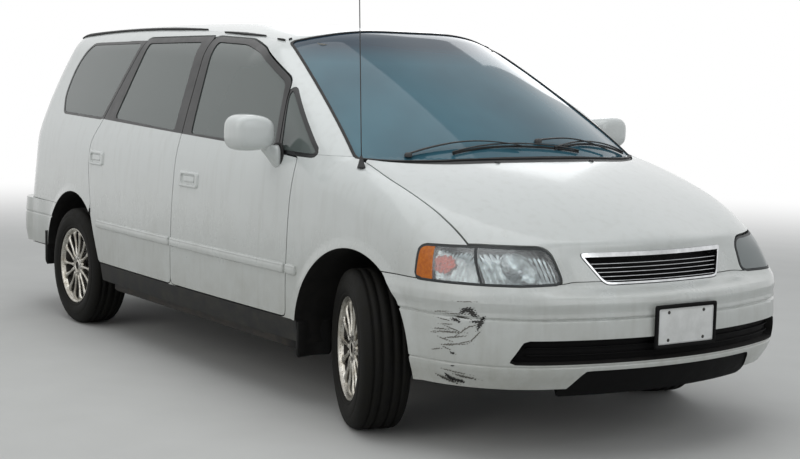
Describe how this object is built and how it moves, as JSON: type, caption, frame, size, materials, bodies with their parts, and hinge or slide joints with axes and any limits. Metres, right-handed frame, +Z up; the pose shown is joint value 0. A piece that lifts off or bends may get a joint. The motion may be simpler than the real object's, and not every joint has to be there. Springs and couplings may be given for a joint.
{
  "type": "minivan",
  "caption": "Full-size family minivan with hinged side doors, lifting hood and tailgate, steered front wheels, glazed cabin with seats and rolling wheels.",
  "frame": {"origin": "on the road under the middle of the body", "axes": "+X forward along the vehicle, +Y to its left, +Z up from the road"},
  "size_m": [4.7677, 2.172, 1.8072],
  "materials": {
    "paint": "gloss",
    "glass_tint": "gloss",
    "screen_glass": "gloss",
    "black_plastic": "matte",
    "chrome": "polished",
    "lamp_lens": "gloss",
    "red_lens": "gloss",
    "underbody": "satin",
    "cast": "rough",
    "steel": "satin",
    "tyre": "matte",
    "alloy": "satin",
    "seat_cloth": "matte",
    "dash_plastic": "matte",
    "plate_white": "satin",
    "rubber": "matte"
  },
  "bodies": {
    "root": {"roof_panel": "paint", "sunroof_panel": "paint", "windscreen": "screen_glass", "cowl": "black_plastic", "body_side_right": "paint", "body_side_left": "paint", "fender_right": "paint", "fender_left": "paint", "headlamp_right": "lamp_lens", "headlamp_left": "lamp_lens", "tail_lamps": "red_lens", "sill_covers": "black_plastic", "fixed_side_glass": "glass_tint", "front_bumper": "paint", "rear_bumper": "paint", "floor_pan": "underbody", "engine_block": "cast", "fuel_tank": "underbody", "dashboard": "dash_plastic", "front_seats": "seat_cloth", "rear_seats": "seat_cloth", "mud_flaps": "rubber", "front_plate": "plate_white", "antenna": "black_plastic", "exhaust": "steel", "front_subframe": "underbody", "rear_axle": "underbody"},
    "front_door_right": {"front_door_right": "paint", "front_door_glass_right": "glass_tint"},
    "front_door_left": {"front_door_left": "paint", "front_door_glass_left": "glass_tint"},
    "rear_door_right": {"rear_door_right": "paint", "rear_door_glass_right": "glass_tint"},
    "rear_door_left": {"rear_door_left": "paint", "rear_door_glass_left": "glass_tint"},
    "hood": {"hood": "paint", "grille": "chrome"},
    "tailgate": {"tailgate": "paint", "rear_window": "glass_tint"},
    "knuckle_right": {"knuckle_right": "cast"},
    "knuckle_left": {"knuckle_left": "cast"},
    "wheel_front_right": {"tyre_front_right": "tyre", "rim_front_right": "alloy"},
    "wheel_front_left": {"tyre_front_left": "tyre", "rim_front_left": "alloy"},
    "wheel_rear_right": {"tyre_rear_right": "tyre", "rim_rear_right": "alloy"},
    "wheel_rear_left": {"tyre_rear_left": "tyre", "rim_rear_left": "alloy"}
  },
  "joints": [
    {"name": "front_door_right_swing", "type": "hinge", "parent": "root", "child": "front_door_right", "pos_m": [0.948, -0.888, 0.6], "axis": [0, 0, 1], "range_deg": [0, 65]},
    {"name": "rear_door_right_swing", "type": "hinge", "parent": "root", "child": "rear_door_right", "pos_m": [-0.128, -0.897, 0.6], "axis": [0, 0, 1], "range_deg": [0, 68]},
    {"name": "front_door_left_swing", "type": "hinge", "parent": "root", "child": "front_door_left", "pos_m": [0.948, 0.888, 0.6], "axis": [0, 0, -1], "range_deg": [0, 65]},
    {"name": "rear_door_left_swing", "type": "hinge", "parent": "root", "child": "rear_door_left", "pos_m": [-0.128, 0.897, 0.6], "axis": [0, 0, -1], "range_deg": [0, 68]},
    {"name": "hood_lift", "type": "hinge", "parent": "root", "child": "hood", "pos_m": [1.258, 0, 1.058], "axis": [0, -1, 0], "range_deg": [0, 50]},
    {"name": "tailgate_lift", "type": "hinge", "parent": "root", "child": "tailgate", "pos_m": [-2.05, 0, 1.622], "axis": [0, 1, 0], "range_deg": [0, 82]},
    {"name": "steer_right", "type": "hinge", "parent": "root", "child": "knuckle_right", "pos_m": [1.42, -0.7275, 0.316], "axis": [0, 0, 1], "range_deg": [-15.6, 53.4]},
    {"name": "steer_left", "type": "hinge", "parent": "root", "child": "knuckle_left", "pos_m": [1.42, 0.7275, 0.316], "axis": [0, 0, 1], "range_deg": [-15.6, 53.4]},
    {"name": "wheel_front_right_spin", "type": "hinge", "parent": "knuckle_right", "child": "wheel_front_right", "pos_m": [1.4078, -0.76031, 0.316], "axis": [0.3486, 0.9373, 0], "continuous": true},
    {"name": "wheel_front_left_spin", "type": "hinge", "parent": "knuckle_left", "child": "wheel_front_left", "pos_m": [1.43093, 0.76075, 0.316], "axis": [0.3123, 0.95, 0], "continuous": true},
    {"name": "wheel_rear_right_spin", "type": "hinge", "parent": "root", "child": "wheel_rear_right", "pos_m": [-1.41, -0.77, 0.316], "axis": [0, 1, 0], "continuous": true},
    {"name": "wheel_rear_left_spin", "type": "hinge", "parent": "root", "child": "wheel_rear_left", "pos_m": [-1.41, 0.77, 0.316], "axis": [0, 1, 0], "continuous": true}
  ],
  "couplings": [
    {"joint": "steer_left", "follows": "steer_right", "ratio": 1}
  ]
}
